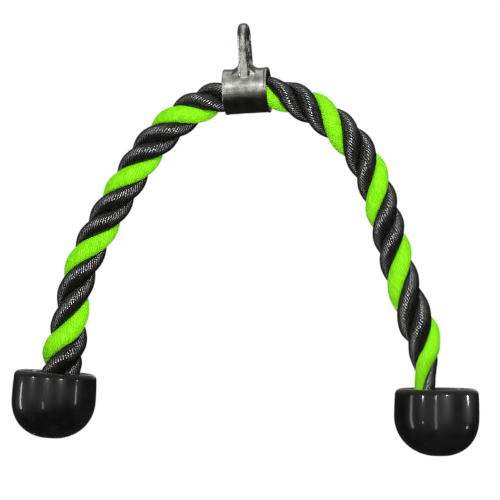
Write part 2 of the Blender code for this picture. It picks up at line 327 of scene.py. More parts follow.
def vector_of(tree, operation, first, second):
    """One sum of vectors as a Vector Math node, and its result."""
    made = add_node(tree, "ShaderNodeVectorMath", {0: first}, operation=operation)
    place = "Scale" if operation == "SCALE" else 1
    if isinstance(second, bpy.types.NodeSocket):
        tree.links.new(second, made.inputs[place])
    else:
        made.inputs[place].default_value = second
    return made.outputs[0]


def noise_of(tree, place, scale, detail, roughness=0.5):
    """Noise as a Noise Texture node, and its result."""
    values = {"Vector": place, "Scale": scale, "Detail": detail, "Roughness": roughness}
    return add_node(tree, "ShaderNodeTexNoise", values).outputs[0]


def new_tree(name, inputs):
    """A geometry tree with its named inputs, as (tree, input node, output node)."""
    tree = bpy.data.node_groups.new(name, "GeometryNodeTree")
    for label, kind in inputs:
        tree.interface.new_socket(label, in_out="INPUT", socket_type=kind)
    tree.interface.new_socket("Geometry", in_out="OUTPUT", socket_type="NodeSocketGeometry")
    return tree, tree.nodes.new("NodeGroupInput"), tree.nodes.new("NodeGroupOutput")


ROPE_INPUTS = (
    ("Route", "NodeSocketObject"),
    ("Section", "NodeSocketObject"),
    ("Rings", "NodeSocketInt"),
    ("Yarns", "NodeSocketInt"),
    ("Points per Yarn", "NodeSocketInt"),
    ("Yarn Depth", "NodeSocketFloat"),
    ("Yarn Turn Length", "NodeSocketFloat"),
    ("Strand Centre", "NodeSocketFloat"),
)


def strand_tree():
    """One strand of yarns wound along the route, numbered in the face attribute strand."""
    tree, given, result = new_tree("one_strand", ROPE_INPUTS + (("Strand", "NodeSocketInt"),))
    field = given.outputs
    around = math_of(tree, "MULTIPLY", field["Yarns"], field["Points per Yarn"])
    columns = math_of(tree, "ADD", around, 1.0)
    sheet = {"Size X": 1.0, "Size Y": 1.0, "Vertices X": columns, "Vertices Y": field["Rings"]}
    grid = add_node(tree, "GeometryNodeMeshGrid", sheet)
    position = add_node(tree, "GeometryNodeInputPosition").outputs[0]
    place = add_node(tree, "ShaderNodeSeparateXYZ", {0: position})
    round_share = math_of(tree, "ADD", place.outputs["X"], 0.5)
    along_share = math_of(tree, "ADD", place.outputs["Y"], 0.5)

    # First and last rings close the strand's ends
    ring = math_of(tree, "MULTIPLY", along_share, math_of(tree, "SUBTRACT", field["Rings"], 1.0))
    wall_steps = math_of(tree, "SUBTRACT", field["Rings"], 3.0)
    wall = math_of(tree, "DIVIDE", math_of(tree, "SUBTRACT", ring, 1.0), wall_steps)
    clamped = add_node(tree, "ShaderNodeClamp", {"Value": wall}).outputs[0]
    past_start = math_of(tree, "GREATER_THAN", ring, 0.5)
    before_end = math_of(tree, "LESS_THAN", ring, math_of(tree, "SUBTRACT", field["Rings"], 1.5))
    is_wall = math_of(tree, "MULTIPLY", past_start, before_end)

    # Route, with its tilt and radius, at each ring
    route = add_node(tree, "GeometryNodeObjectInfo", {"Object": field["Route"]}).outputs["Geometry"]
    tilt = add_node(tree, "GeometryNodeInputCurveTilt").outputs[0]
    radius = add_node(tree, "GeometryNodeInputRadius").outputs[0]
    on_route = {"Curves": route, "Factor": clamped}
    turned = add_node(tree, "GeometryNodeSampleCurve", {**on_route, "Value": tilt}, use_all_curves=True)
    squeezed = add_node(tree, "GeometryNodeSampleCurve", {**on_route, "Value": radius}, use_all_curves=True)
    length = add_node(tree, "GeometryNodeCurveLength", {0: route}).outputs[0]
    along = math_of(tree, "MULTIPLY", clamped, length)

    # Section, which slides back round the strand so that the yarns run along the rope;
    # whole turns ahead keep its share above zero
    slide = math_of(tree, "DIVIDE", along, field["Yarn Turn Length"])
    slid = math_of(tree, "SUBTRACT", math_of(tree, "ADD", round_share, TURNS_AHEAD), slide)
    section = add_node(tree, "GeometryNodeObjectInfo", {"Object": field["Section"]}).outputs["Geometry"]
    on_section = {"Curves": section, "Factor": math_of(tree, "FRACT", slid)}
    drawn = add_node(tree, "GeometryNodeSampleCurve", on_section, use_all_curves=True)
    edge_way = add_node(tree, "ShaderNodeSeparateXYZ", {0: drawn.outputs["Tangent"]})
    turned_x = math_of(tree, "MULTIPLY", edge_way.outputs["Y"], -1.0)
    inwards = add_node(tree, "ShaderNodeCombineXYZ", {"X": turned_x, "Y": edge_way.outputs["X"]}).outputs[0]

    # Yarns, as rounds with grooves between them
    yarn_share = math_of(tree, "FRACT", math_of(tree, "MULTIPLY", round_share, field["Yarns"]))
    off_crest = math_of(tree, "ABSOLUTE", math_of(tree, "MULTIPLY_ADD", yarn_share, 2.0, -1.0))
    groove = math_of(tree, "MULTIPLY", math_of(tree, "POWER", off_crest, 3.0), field["Yarn Depth"])
    grooved = vector_of(tree, "ADD", drawn.outputs["Position"], vector_of(tree, "SCALE", inwards, groove))
    centre = add_node(tree, "ShaderNodeCombineXYZ", {"X": field["Strand Centre"]}).outputs[0]
    capping = {"Factor": is_wall, 4: centre, 5: grooved}
    capped = add_node(tree, "ShaderNodeMix", capping, data_type="VECTOR").outputs[1]

    # Turned by the lay, and set across the route
    third = math_of(tree, "MULTIPLY", field["Strand"], math.tau / 3)
    turning = {"Vector": capped, "Angle": math_of(tree, "ADD", turned.outputs[0], third)}
    laid = add_node(tree, "ShaderNodeVectorRotate", turning, rotation_type="Z_AXIS")
    across = vector_of(tree, "SCALE", laid.outputs[0], squeezed.outputs[0])
    parts = add_node(tree, "ShaderNodeSeparateXYZ", {0: across})
    side = vector_of(tree, "CROSS_PRODUCT", (0, 1, 0), turned.outputs["Tangent"])
    side = vector_of(tree, "SCALE", vector_of(tree, "NORMALIZE", side, (0, 0, 0)), parts.outputs["X"])
    back = add_node(tree, "ShaderNodeCombineXYZ", {"Y": parts.outputs["Y"]}).outputs[0]
    spot = vector_of(tree, "ADD", turned.outputs["Position"], vector_of(tree, "ADD", side, back))

    # Map for the material: X in metres along the rope, Y counts yarns
    counted = math_of(tree, "MULTIPLY", round_share, field["Yarns"])
    yarn_map = add_node(tree, "ShaderNodeCombineXYZ", {"X": along, "Y": counted}).outputs[0]
    mapped = add_node(
        tree,
        "GeometryNodeStoreNamedAttribute",
        {"Geometry": grid.outputs["Mesh"], "Name": "yarn_map", "Value": yarn_map},
        data_type="FLOAT2",
        domain="CORNER",
    )
    numbered = add_node(
        tree,
        "GeometryNodeStoreNamedAttribute",
        {"Geometry": mapped.outputs[0], "Name": "strand", "Value": field["Strand"]},
        data_type="INT",
        domain="FACE",
    )
    set_out = add_node(tree, "GeometryNodeSetPosition", {"Geometry": numbered.outputs[0], "Position": spot})
    closing = {"Geometry": set_out.outputs[0], "Distance": WELD}
    merged = add_node(tree, "GeometryNodeMergeByDistance", closing)
    tree.links.new(merged.outputs[0], result.inputs[0])
    return tree


def rope_tree(one_strand):
    """Three strands of one rope, the first green and the others black."""
    finishes = (("Black", "NodeSocketMaterial"), ("Green", "NodeSocketMaterial"))
    tree, given, result = new_tree("laid_rope", ROPE_INPUTS + finishes)
    joined = add_node(tree, "GeometryNodeJoinGeometry")
    for number in range(3):
        strand = add_node(tree, "GeometryNodeGroup", node_tree=one_strand)
        for label, _ in ROPE_INPUTS:
            tree.links.new(given.outputs[label], strand.inputs[label])
        if number == 0:
            # The green strand is of softer yarns, with shallower grooves
            shallow = math_of(tree, "MULTIPLY", given.outputs["Yarn Depth"], GREEN_GROOVE_SHARE)
            tree.links.new(shallow, strand.inputs["Yarn Depth"])
        strand.inputs["Strand"].default_value = number
        tree.links.new(strand.outputs[0], joined.inputs[0])
    real = add_node(tree, "GeometryNodeRealizeInstances", {0: joined.outputs[0]})
    smooth = add_node(tree, "GeometryNodeSetShadeSmooth", {"Geometry": real.outputs[0]})
    black = add_node(
        tree, "GeometryNodeSetMaterial", {"Geometry": smooth.outputs[0], "Material": given.outputs["Black"]}
    )
    strand = add_node(tree, "GeometryNodeInputNamedAttribute", {"Name": "strand"}, data_type="INT")
    is_green = math_of(tree, "LESS_THAN", strand.outputs["Attribute"], 0.5)
    green = add_node(
        tree,
        "GeometryNodeSetMaterial",
        {"Geometry": black.outputs[0], "Selection": is_green, "Material": given.outputs["Green"]},
    )
    tree.links.new(green.outputs[0], result.inputs[0])
    return tree


def new_material(name, **values):
    """A material on a Principled shader with its constant values set, as (material, tree, shader)."""
    made = bpy.data.materials.new(name)
    made.use_nodes = True
    shader = made.node_tree.nodes["Principled BSDF"]
    for label, value in values.items():
        shader.inputs[label.replace("_", " ")].default_value = value
    return made, made.node_tree, shader


def ramp_of(tree, share, low, low_colour, high, high_colour):
    """A run of colour between two shares, as a Color Ramp node."""
    made = add_node(tree, "ShaderNodeValToRGB", {0: share})
    for element, place, colour in zip(made.color_ramp.elements, (low, high), (low_colour, high_colour)):
        element.position = place
        element.color = (*colour, 1)
    return made


def raise_skin(tree, shader, height, strength, distance):
    """A material's fine relief, as a Bump node."""
    relief = {"Strength": strength, "Distance": distance, "Height": height}
    raised = add_node(tree, "ShaderNodeBump", relief)
    tree.links.new(raised.outputs[0], shader.inputs["Normal"])


def yarn_material(name, dark, plain, pale, roughness, specular, groove, groove_shade_metal=0.0):
    """Twisted nylon filaments: fine lines along each yarn, yarns of differing shades, and painted shade in
    the grooves between yarns.
    """
    made, tree, shader = new_material(name, Specular_IOR_Level=specular)
    place = add_node(tree, "ShaderNodeUVMap", uv_map="yarn_map").outputs[0]
    parts = add_node(tree, "ShaderNodeSeparateXYZ", {0: place})
    whole = math_of(tree, "FLOOR", parts.outputs["Y"])
    share = math_of(tree, "FRACT", parts.outputs["Y"])
    off_crest = math_of(tree, "ABSOLUTE", math_of(tree, "MULTIPLY_ADD", share, 2.0, -1.0))

    # Shade of each yarn, which drifts slowly along it
    slow = math_of(tree, "MULTIPLY", parts.outputs["X"], SHADE_RATE)
    drift = add_node(tree, "ShaderNodeCombineXYZ", {"X": slow, "Y": whole})
    shade = noise_of(tree, drift.outputs[0], scale=1.7, detail=2.0)

    # Filaments, long and thin, a little askew to the yarn because it is twisted
    forward = math_of(tree, "MULTIPLY", parts.outputs["X"], FILAMENT_RATE)
    twist = math_of(tree, "MULTIPLY", parts.outputs["X"], FILAMENT_TWIST)
    filaments = math_of(tree, "MULTIPLY", parts.outputs["Y"], FILAMENTS_PER_YARN)
    sideways = math_of(tree, "ADD", filaments, twist)
    line_place = add_node(tree, "ShaderNodeCombineXYZ", {"X": forward, "Y": sideways})
    lines = noise_of(tree, line_place.outputs[0], scale=1.0, detail=3.0)
    of_yarn = math_of(tree, "MULTIPLY", shade, 0.6)
    of_lines = math_of(tree, "MULTIPLY", lines, 0.4)
    tone = ramp_of(tree, math_of(tree, "ADD", of_yarn, of_lines), 0.34, dark, 0.66, pale)
    middle = tone.color_ramp.elements.new(0.5)
    middle.color = (*plain, 1)
    # Painted shade: the colour darkens towards the bottom of each groove between yarns, as far as groove
    # says
    groove_shade_share = math_of(tree, "MULTIPLY", math_of(tree, "POWER", off_crest, 3.0), groove)
    shadow = (*(0.35 * part for part in dark), 1)
    groove_shading = {0: groove_shade_share, 6: tone.outputs[0], 7: shadow}
    grooved = add_node(tree, "ShaderNodeMix", groove_shading, data_type="RGBA")
    tree.links.new(grooved.outputs[2], shader.inputs["Base Color"])
    rough = math_of(tree, "ADD", math_of(tree, "MULTIPLY", lines, 0.16), roughness - 0.08)
    dull = math_of(tree, "MULTIPLY", math_of(tree, "POWER", off_crest, 1.6), 0.7)
    tree.links.new(math_of(tree, "ADD", rough, dull), shader.inputs["Roughness"])
    if groove_shade_metal:
        # Painted shade: the grooves are also a dark metal, which has neither a haze nor a gleam, so they
        # stay black
        tree.links.new(math_of(tree, "MULTIPLY", off_crest, groove_shade_metal), shader.inputs["Metallic"])
    raise_skin(tree, shader, lines, strength=0.18, distance=0.0003)
    return made


# Groove sets how strong the painted shade in each yarn's grooves is; the black yarn's grooves are also made
# a dark metal
black_yarn = yarn_material(
    "black_nylon_yarn",
    dark=(0.002, 0.002, 0.002),
    plain=(0.006, 0.006, 0.005),
    pale=(0.015, 0.015, 0.0135),
    roughness=0.13,
    specular=0.8,
    groove=0.75,
    groove_shade_metal=1.0,
)
green_yarn = yarn_material(
    "lime_nylon_yarn",
    dark=(0.180, 0.690, 0.002),
    plain=(0.225, 0.800, 0.003),
    pale=(0.290, 0.860, 0.008),
    roughness=0.55,
    specular=0.05,
    groove=0.2,
)

strand_section = strand_section_curve()
strand_nodes = strand_tree()
rope_nodes = rope_tree(strand_nodes)


def run_nodes(maker, group, values):
    """A geometry tree set to work on an object, with its named inputs."""
    modifier = maker.modifiers.new(group.name, "NODES")
    modifier.node_group = group
    for socket in group.interface.items_tree:
        if socket.in_out == "INPUT" and socket.name in values:
            modifier[socket.identifier] = values[socket.name]


def plain_copy(maker, name):
    """What a maker's modifiers make, as an object with a plain mesh. The maker goes."""
    bpy.context.view_layer.update()
    mesh = bpy.data.meshes.new_from_object(maker.evaluated_get(bpy.context.evaluated_depsgraph_get()))
    mesh.name = name
    made = add_object(name, mesh)
    bpy.data.objects.remove(maker)
    return made


def lay_rope(name, points, angles, squeezes):
    """The laid rope along a route, as a plain mesh."""
    route = lay_curve(name + "_route", points, angles, squeezes)
    maker = add_object(name + "_maker", bpy.data.meshes.new(name + "_maker"))

    # One ring more than steps, and one to close each end
    rings = round(distances(points)[-1] / RING_STEP) + 3
    values = {
        "Route": route,
        "Section": strand_section,
        "Rings": rings,
        "Yarns": YARNS_PER_STRAND,
        "Points per Yarn": POINTS_PER_YARN,
        "Yarn Depth": YARN_DEPTH,
        "Yarn Turn Length": YARN_TURN_LENGTH,
        "Strand Centre": STRAND_CENTRE,
        "Black": black_yarn,
        "Green": green_yarn,
    }
    run_nodes(maker, rope_nodes, values)
    made = plain_copy(maker, name)
    bpy.data.objects.remove(route)
    return made


def lay_leg(side, neck_start, pivot, route, top, down, facing, squeeze, lean):
    """One leg of the rope, which curves away from the collar's mouth."""
    points = leg_route(neck_start, pivot, route, top, down)
    shifts = np.interp(distances(points), *zip(*lean))
    points = [point + Vector((shift, 0, 0)) for point, shift in zip(points, shifts)]
    along = distances(points)
    angles = [-math.pi / 2 + math.tau * turns_at(place, facing) for place in along]
    shares = np.interp(along, *zip(*squeeze)).tolist()
    leg = lay_rope(f"rope_{side}", points, angles, shares)
    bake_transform(leg)
    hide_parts(f"rope_{side}_neck", f"rope_{side}_leg")
    return leg, angles[0]


left_rope, left_start_angle = lay_leg(
    "left", LEFT_NECK_START, LEFT_PIVOT, LEFT_ROUTE, LEFT_TOP, LEFT_DOWN, LEFT_GREEN, LEFT_SQUEEZE,
    LEFT_LEAN,
)
right_rope, right_start_angle = lay_leg(
    "right", RIGHT_NECK_START, RIGHT_PIVOT, RIGHT_ROUTE, RIGHT_TOP, RIGHT_DOWN, RIGHT_GREEN, RIGHT_SQUEEZE,
    RIGHT_LEAN,
)

# Seen from the left neck the lay runs the other way, so the stretch in the collar takes up the difference
leave = (LEFT_NECK_START - LEFT_PIVOT).normalized()
arrive = (RIGHT_PIVOT - RIGHT_NECK_START).normalized()
inner_ends = [LEFT_NECK_START + leave * CUT_GAP, RIGHT_NECK_START - arrive * CUT_GAP]
inner_points = smooth_route(inner_ends, leave, arrive)
inner_along = distances(inner_points)
first_angle = math.pi - left_start_angle
turned = (right_start_angle - first_angle) % math.tau
inner_angles = [first_angle + turned * place / inner_along[-1] for place in inner_along]
inner_squeezes = [SQUEEZE_IN_COLLAR] * len(inner_points)
inner_rope = lay_rope("rope_in_collar", inner_points, inner_angles, inner_squeezes)
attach(inner_rope, "collar")
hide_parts("rope_collar_stretch")
bpy.data.objects.remove(strand_section)

# Collar and eye
# One steel casting, plated and tumbled: a short tube that the rope runs through, with a flat eye on top.
# Its skin keeps the grain and the small pits of the mould, its parting line runs round the eye's edge,
# and its edges are worn round and bright.
CAST_SKIN = (0.27, 0.27, 0.245)
CAST_TILT = math.radians(3.2)
EYE_DROP = 0.049
COLLAR_RADIUS = 0.0185
EYE_HALF_THICKNESS = 0.0041
CAST_WELD = 0.00001
CAST_GRID = 0.00045
COLLAR_WEAR = 3
EYE_WEAR = 16
EYE_WEAR_START = 0.005
EYE_WEAR_FULL = 0.014
PARTING_RISE = 0.0005
CAST_GRAIN = 0.00016
CAST_SWELL = 0.0008


def range_of(tree, value, start, end, low=0.0, high=1.0, **settings):
    """A value mapped from one range to another as a Map Range node, and its result."""
    ends = {"From Min": start, "From Max": end, "To Min": low, "To Max": high}
    return add_node(tree, "ShaderNodeMapRange", {"Value": value, **ends}, **settings).outputs[0]


def cast_tree():
    """The casting's skin: corners worn round, most on the eye, a parting ridge, and the mould's grain."""
    inputs = (
        ("Casting", "NodeSocketGeometry"),
        ("Collar Wear", "NodeSocketInt"),
        ("Eye Wear", "NodeSocketInt"),
        ("Parting Rise", "NodeSocketFloat"),
        ("Grain", "NodeSocketFloat"),
        ("Swell", "NodeSocketFloat"),
        ("Skin", "NodeSocketMaterial"),
    )
    tree, given, result = new_tree("cast_skin", inputs)
    field = given.outputs
    place = add_node(tree, "GeometryNodeInputPosition").outputs[0]
    turning = {"Vector": place, "Angle": CAST_TILT}
    upright = add_node(tree, "ShaderNodeVectorRotate", turning, rotation_type="Y_AXIS").outputs[0]
    parts = add_node(tree, "ShaderNodeSeparateXYZ", {0: upright})
    collar_top = COLLAR_RADIUS - EYE_DROP
    above = range_of(tree, parts.outputs["Z"], collar_top + EYE_WEAR_START, collar_top + EYE_WEAR_FULL)

    # Worn corners
    worn = add_node(tree, "GeometryNodeBlurAttribute", data_type="FLOAT_VECTOR")
    tree.links.new(place, worn.inputs["Value"])
    tree.links.new(field["Collar Wear"], worn.inputs["Iterations"])
    moved = {"Geometry": field["Casting"], "Position": worn.outputs[0]}
    first = add_node(tree, "GeometryNodeSetPosition", moved)
    eye_worn = add_node(tree, "GeometryNodeBlurAttribute", data_type="FLOAT_VECTOR")
    tree.links.new(place, eye_worn.inputs["Value"])
    tree.links.new(field["Eye Wear"], eye_worn.inputs["Iterations"])
    tree.links.new(above, eye_worn.inputs["Weight"])
    moved = {"Geometry": first.outputs[0], "Position": eye_worn.outputs[0]}
    second = add_node(tree, "GeometryNodeSetPosition", moved)

    # Parting ridge, only where the surface faces along the eye's edge
    normal = add_node(tree, "GeometryNodeInputNormal").outputs[0]
    facing = add_node(tree, "ShaderNodeSeparateXYZ", {0: normal})
    edge_on = math_of(tree, "SUBTRACT", 1.0, math_of(tree, "ABSOLUTE", facing.outputs["X"]))
    off_middle = math_of(tree, "DIVIDE", math_of(tree, "ABSOLUTE", parts.outputs["X"]), EYE_HALF_THICKNESS)
    roof = math_of(tree, "MAXIMUM", math_of(tree, "SUBTRACT", 1.0, off_middle), 0.0)
    ridge = math_of(tree, "MULTIPLY", roof, edge_on)
    rise = math_of(tree, "MULTIPLY", ridge, math_of(tree, "MULTIPLY", above, field["Parting Rise"]))

    # Grain of the mould
    grain = noise_of(tree, place, scale=330.0, detail=3.0, roughness=0.65)
    rough = math_of(tree, "MULTIPLY", math_of(tree, "SUBTRACT", grain, 0.5), field["Grain"])
    swell = noise_of(tree, place, scale=55.0, detail=1.0)
    swollen = math_of(tree, "MULTIPLY", math_of(tree, "SUBTRACT", swell, 0.5), field["Swell"])
    out = vector_of(tree, "SCALE", normal, math_of(tree, "ADD", rise, math_of(tree, "ADD", rough, swollen)))
    third = add_node(tree, "GeometryNodeSetPosition", {"Geometry": second.outputs[0], "Offset": out})
    smooth = add_node(tree, "GeometryNodeSetShadeSmooth", {"Geometry": third.outputs[0]})
    coated = {"Geometry": smooth.outputs[0], "Material": field["Skin"]}
    skinned = add_node(tree, "GeometryNodeSetMaterial", coated)
    tree.links.new(skinned.outputs[0], result.inputs[0])
    return tree


casting, tree, shader = new_material("plated_casting", Metallic=1.0)
place = add_node(tree, "ShaderNodeTexCoord").outputs["Object"]
grain = noise_of(tree, place, scale=900.0, detail=4.0, roughness=0.6)
waves = noise_of(tree, place, scale=160.0, detail=2.0)

# Pits come in patches, and the rest of the skin is spared them. Each pit is a dent with painted shade in
# its middle
pits = add_node(tree, "ShaderNodeTexVoronoi", {"Vector": place, "Scale": 520.0}, feature="F1")
pit_rim = range_of(tree, pits.outputs["Distance"], start=0.05, end=0.30)
patches = noise_of(tree, place, scale=110.0, detail=1.0)
spared = range_of(tree, patches, start=0.56, end=0.50)
pitless = math_of(tree, "MAXIMUM", pit_rim, spared)
deep_tone = [0.62 * part for part in CAST_SKIN]
high_tone = [1.18 * part for part in CAST_SKIN]
tone = ramp_of(tree, waves, 0.35, deep_tone, 0.62, high_tone)
# Painted shade: the middle of each pit is darkened
pit_shading = {0: pitless, 6: (0.10, 0.10, 0.09, 1), 7: tone.outputs[0]}
pit_shaded = add_node(tree, "ShaderNodeMix", pit_shading, data_type="RGBA")
tree.links.new(pit_shaded.outputs[2], shader.inputs["Base Color"])
tree.links.new(math_of(tree, "MULTIPLY_ADD", grain, 0.30, 0.10), shader.inputs["Roughness"])
height = math_of(tree, "ADD", math_of(tree, "MULTIPLY", grain, 0.5), waves)
height = math_of(tree, "ADD", height, math_of(tree, "MULTIPLY", pitless, 0.5))
raise_skin(tree, shader, height, strength=0.25, distance=0.0006)

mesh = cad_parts["eye_collar"].data.copy()
form = bmesh.new()
form.from_mesh(mesh)
bmesh.ops.remove_doubles(form, verts=form.verts, dist=CAST_WELD)
form.to_mesh(mesh)
form.free()
maker = add_object("casting_maker", mesh)
modifier = maker.modifiers.new("even_grid", "REMESH")
modifier.mode = "VOXEL"
modifier.voxel_size = CAST_GRID
values = {
    "Collar Wear": COLLAR_WEAR,
    "Eye Wear": EYE_WEAR,
    "Parting Rise": PARTING_RISE,
    "Grain": CAST_GRAIN,
    "Swell": CAST_SWELL,
    "Skin": casting,
}
run_nodes(maker, cast_tree(), values)
cast_collar = plain_copy(maker, "cast_collar")
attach(cast_collar, "collar")
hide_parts("eye_collar")

# Stoppers and their plugs
# Each end of the rope is held in a round stopper of moulded black rubber, polished by its mould.
# A plug of the same rubber, pressed in from below, closes the hole that the ferrule went in by.
BALL_RADIUS = 0.0348
TOP_TAPER = 0.0006
DOME_DEPTH = 0.0331
DOME_FULLNESS = 2.2
TOP_ROUND = 0.0048
SHOULDER_DEPTH = 0.022
BORE_RADIUS = 0.0146
SEAT_RADIUS = 0.0177
SEAT_DEPTH = 0.0270
HOLE_EDGE = 0.0008
FIT_GAP = 0.0003
PLUG_TOP_DEPTH = 0.0444
PLUG_EDGE = 0.0006
PLUG_FLAT_RADIUS = 0.008
TURNED_SIDES = 160
TURNED_WELD = 0.000001
MOUTH_STEPS = 14
RIM_STEPS = 16
SIDE_STEPS = 16
DOME_STEPS = 44
PLUG_STEPS = 14
PLUG_EDGE_STEPS = 5
SHARP_ANGLE = math.radians(40)
DOME_ASKEW = {"left": -0.0014, "right": 0.0024}
ASKEW_POWER = 1.5

rubber, tree, shader = new_material(
    "black_rubber", Specular_IOR_Level=0.4, Coat_Weight=0.8, Coat_Roughness=0.09
)
place = add_node(tree, "ShaderNodeTexCoord").outputs["Object"]
cloud = noise_of(tree, place, scale=55.0, detail=3.0)
dust = noise_of(tree, place, scale=1400.0, detail=2.0)
tone = ramp_of(tree, cloud, 0.38, (0.0014, 0.0015, 0.0013), 0.68, (0.0070, 0.0070, 0.0064))
tree.links.new(tone.outputs[0], shader.inputs["Base Color"])
tree.links.new(math_of(tree, "MULTIPLY_ADD", cloud, 0.24, 0.26), shader.inputs["Roughness"])
height = math_of(tree, "ADD", cloud, math_of(tree, "MULTIPLY", dust, 0.04))
raise_skin(tree, shader, height, strength=0.25, distance=0.0008)


def turned_piece(name, section, top, down, askew, finish):
    """A closed section of (radius, depth) turned about a stopper's axis, its dome a little askew."""
    mesh = bpy.data.meshes.new(name)
    form = bmesh.new()
    corners = [form.verts.new((radius, 0, -depth)) for radius, depth in section]
    edges = []
    for index, (radius, _) in enumerate(section):
        if radius > 0 or section[index - 1][0] > 0:
            edges.append(form.edges.new((corners[index - 1], corners[index])))
    section_parts = corners + edges
    axis = (0, 0, 1)
    bmesh.ops.spin(form, geom=section_parts, cent=(0, 0, 0), axis=axis, angle=math.tau, steps=TURNED_SIDES)
    bmesh.ops.remove_doubles(form, verts=form.verts, dist=TURNED_WELD)
    bmesh.ops.recalc_face_normals(form, faces=form.faces)
    for corner in form.verts:
        corner.co.x += askew * (max(0.0, -corner.co.z - SHOULDER_DEPTH) / DOME_DEPTH) ** ASKEW_POWER
    form.to_mesh(mesh)
    form.free()
    lean = Vector((0, 0, -1)).rotation_difference(down).to_matrix().to_4x4()
    mesh.transform(Matrix.Translation(top) @ lean)
    mesh.materials.append(finish)
    mesh.shade_smooth()
    mesh.set_sharp_from_angle(angle=SHARP_ANGLE)
    return add_object(name, mesh)


def round_of(centre_radius, centre_depth, radius, start, end, steps):
    """Points of a round in a section, from one angle to another; depth grows downwards."""
    points = []
    for step in range(steps + 1):
        turn = start + (end - start) * step / steps
        points.append((centre_radius + radius * math.cos(turn), centre_depth - radius * math.sin(turn)))
    return points


def dome_of(widest, narrowest, steps):
    """Points of the dome in a section between two of its radii; it is a little fuller than a ball."""
    share = 2 / DOME_FULLNESS
    start, end = (math.acos((radius / BALL_RADIUS) ** (1 / share)) for radius in (widest, narrowest))
    points = []
    for step in range(steps + 1):
        turn = start + (end - start) * step / steps
        depth = SHOULDER_DEPTH + DOME_DEPTH * math.sin(turn) ** share
        points.append((BALL_RADIUS * math.cos(turn) ** share, depth))
    return points


def stopper_outline():
    """The stopper's section: rope's mouth, flat top, rounded rim, slightly barrelled side and dome."""
    top_radius = BALL_RADIUS - TOP_TAPER
    quarter = math.pi / 2
    mouth = round_of(BORE_RADIUS + MOUTH_ROUND, MOUTH_ROUND, MOUTH_ROUND, math.pi, quarter, MOUTH_STEPS)
    rim = round_of(top_radius - TOP_ROUND, TOP_ROUND, TOP_ROUND, quarter, 0, RIM_STEPS)
    side = []
    for step in range(1, SIDE_STEPS):
        share = step / SIDE_STEPS
        depth = TOP_ROUND + (SHOULDER_DEPTH - TOP_ROUND) * share
        side.append((BALL_RADIUS - TOP_TAPER * (1 - share) ** 2, depth))
    dome = dome_of(BALL_RADIUS, SEAT_RADIUS + HOLE_EDGE, DOME_STEPS)
    edge = (SEAT_RADIUS, dome[-1][1] - HOLE_EDGE)
    return mouth + rim + side + dome + [edge, (SEAT_RADIUS, SEAT_DEPTH), (BORE_RADIUS, SEAT_DEPTH)]


def plug_outline():
    """The plug's section: flat inside, and domed in line with the stopper, with a small flat below."""
    side = SEAT_RADIUS - FIT_GAP
    dome = dome_of(side - PLUG_EDGE, PLUG_FLAT_RADIUS, PLUG_STEPS)
    edge = []
    for step in range(PLUG_EDGE_STEPS):
        turn = math.pi / 2 * step / PLUG_EDGE_STEPS
        radius = side - PLUG_EDGE * (1 - math.cos(turn))
        edge.append((radius, dome[0][1] - PLUG_EDGE * (1 - math.sin(turn))))
    return [(0, PLUG_TOP_DEPTH), (side, PLUG_TOP_DEPTH)] + edge + dome + [(0, dome[-1][1])]


moulded = {}
for side, top, down in (("left", LEFT_TOP, LEFT_DOWN), ("right", RIGHT_TOP, RIGHT_DOWN)):
    moulded[side] = []
    for part, outline in (("stopper", stopper_outline()), ("plug", plug_outline())):
        piece = turned_piece(f"moulded_{side}_{part}", outline, top, down, DOME_ASKEW[side], rubber)
        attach(piece, f"{side}_stopper_body")
        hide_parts(f"{side}_{part}")
        moulded[side].append(piece)

# Washers, ferrules and whippings
# Inside each stopper the rope's end is wrapped in tape and crimped in a zinc plated ferrule,
# whose flange bears on a steel washer, so that the rope can't pull through.
zinc, tree, shader = new_material("zinc_plated_steel", Metallic=1.0)
place = add_node(tree, "ShaderNodeTexCoord").outputs["Object"]
bloom = noise_of(tree, place, scale=420.0, detail=5.0)
tone = ramp_of(tree, bloom, 0, (0.38, 0.38, 0.37), 1, (0.62, 0.62, 0.60))
tree.links.new(tone.outputs[0], shader.inputs["Base Color"])
tree.links.new(math_of(tree, "MULTIPLY_ADD", bloom, 0.3, 0.2), shader.inputs["Roughness"])

tape, tree, shader = new_material("whipping_tape", Specular_IOR_Level=0.3)
place = add_node(tree, "ShaderNodeTexCoord").outputs["Object"]
weave = noise_of(tree, place, scale=2200.0, detail=2.0)
tone = ramp_of(tree, weave, 0, (0.008, 0.008, 0.008), 1, (0.035, 0.035, 0.033))
tree.links.new(tone.outputs[0], shader.inputs["Base Color"])
tree.links.new(math_of(tree, "MULTIPLY_ADD", weave, 0.3, 0.5), shader.inputs["Roughness"])

for side in ("left", "right"):
    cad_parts[f"{side}_washer"].data.materials[0] = zinc
    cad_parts[f"{side}_ferrule"].data.materials[0] = zinc
    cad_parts[f"{side}_whipping"].data.materials[0] = tape

# Studio
# A plain pale floor well below the hanging rope, a white surround, and four soft lamps that light it all.
# The other lamps only shine: the rope's glints, the casting's bright bands and the streaks on the rubber.
FLOOR_DEPTH = -0.75
FLOOR_RADIUS = 4.0
FLOOR_SIDES = 96
CARD_DEPTH = -0.60
CARD_RADIUS = 3.9
CARD_SIDES = 64
AIM = Vector((0, 0, -0.20))


def add_disc(name, radius, sides, depth, finish):
    """A round flat sheet below the object."""
    mesh = bpy.data.meshes.new(name)
    form = bmesh.new()
    bmesh.ops.create_circle(form, cap_ends=True, radius=radius, segments=sides)
    form.to_mesh(mesh)
    form.free()
    mesh.transform(Matrix.Translation((0, 0, depth)))
    mesh.materials.append(finish)
    return add_object(name, mesh)


